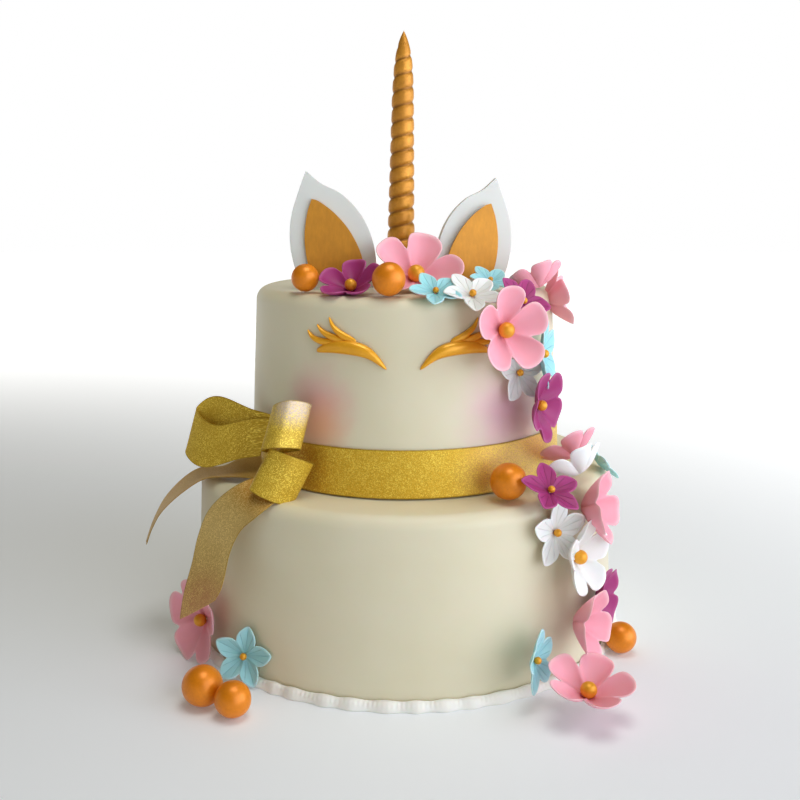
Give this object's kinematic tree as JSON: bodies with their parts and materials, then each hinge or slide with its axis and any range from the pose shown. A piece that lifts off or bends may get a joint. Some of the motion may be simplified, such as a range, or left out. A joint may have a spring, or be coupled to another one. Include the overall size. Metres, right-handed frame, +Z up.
{
  "type": "two-tier birthday cake, unicorn style, without candles",
  "caption": "Two-tier fondant birthday cake with a twisted gold horn, ears, closed eyes, a gold ribbon bow, sugar blossoms and gold balls.",
  "frame": {"origin": "middle of the lower tier's underside, on the surface that the cake stands on", "axes": "+Z up through the horn; the closed eyes look along -Y; +X is the side with the fall of blossoms"},
  "size_m": [0.2849, 0.284, 0.3423],
  "materials": {
    "ivory_fondant": "sugar fondant, ivory, soft satin",
    "white_paste": "sugar paste, white, matt",
    "gold_paint": "sugar paste brushed with antique gold lustre",
    "gold_ball": "sugar ball with orange-gold lustre",
    "gold_ribbon": "glitter ribbon, yellow gold",
    "pink_paste": "sugar paste, pink, matt",
    "blue_paste": "sugar paste, light blue, matt",
    "magenta_paste": "sugar paste, magenta, matt"
  },
  "bodies": {
    "root": {"lower_tier": "ivory_fondant", "upper_tier": "ivory_fondant", "foot_border": "white_paste", "ribbon_band": "gold_ribbon", "horn": "gold_paint", "ear_left": "white_paste", "ear_left_lining": "gold_paint", "ear_right": "white_paste", "ear_right_lining": "gold_paint", "eyelid_left": "gold_paint", "lash_left_1": "gold_paint", "lash_left_2": "gold_paint", "lash_left_3": "gold_paint", "eyelid_right": "gold_paint", "lash_right_1": "gold_paint", "lash_right_2": "gold_paint", "lash_right_3": "gold_paint", "blossom_left_pink": "pink_paste", "blossom_left_blue": "blue_paste", "blossom_top_magenta": "magenta_paste", "blossom_top_pink": "pink_paste", "blossom_top_blue_back": "blue_paste", "blossom_top_blue": "blue_paste", "blossom_top_white": "white_paste", "blossom_side_white": "white_paste", "blossom_shoulder_magenta": "magenta_paste", "blossom_side_pink": "pink_paste", "blossom_shoulder_pink": "pink_paste", "blossom_shoulder_pink_back": "pink_paste", "blossom_side_blue": "blue_paste", "blossom_side_blue_low": "blue_paste", "blossom_side_magenta": "magenta_paste", "blossom_ledge_pink": "pink_paste", "blossom_ledge_white": "white_paste", "blossom_ledge_blue": "blue_paste", "blossom_wall_white": "white_paste", "blossom_edge_pink": "pink_paste", "blossom_edge_magenta": "magenta_paste", "blossom_wall_white_round": "white_paste", "blossom_wall_magenta": "magenta_paste", "blossom_wall_pink": "pink_paste", "blossom_foot_blue": "blue_paste", "blossom_foot_pink": "pink_paste", "ball_top_left": "gold_ball", "ball_top_middle": "gold_ball", "ball_ledge": "gold_ball", "ball_foot_left_big": "gold_ball", "ball_foot_left_small": "gold_ball", "ball_foot_right": "gold_ball", "bow_knot": "gold_ribbon", "bow_loop_left": "gold_ribbon", "bow_loop_upper": "gold_ribbon", "bow_loop_lower": "gold_ribbon", "bow_tail_front": "gold_ribbon", "bow_tail_left": "gold_ribbon"}
  },
  "joints": []
}
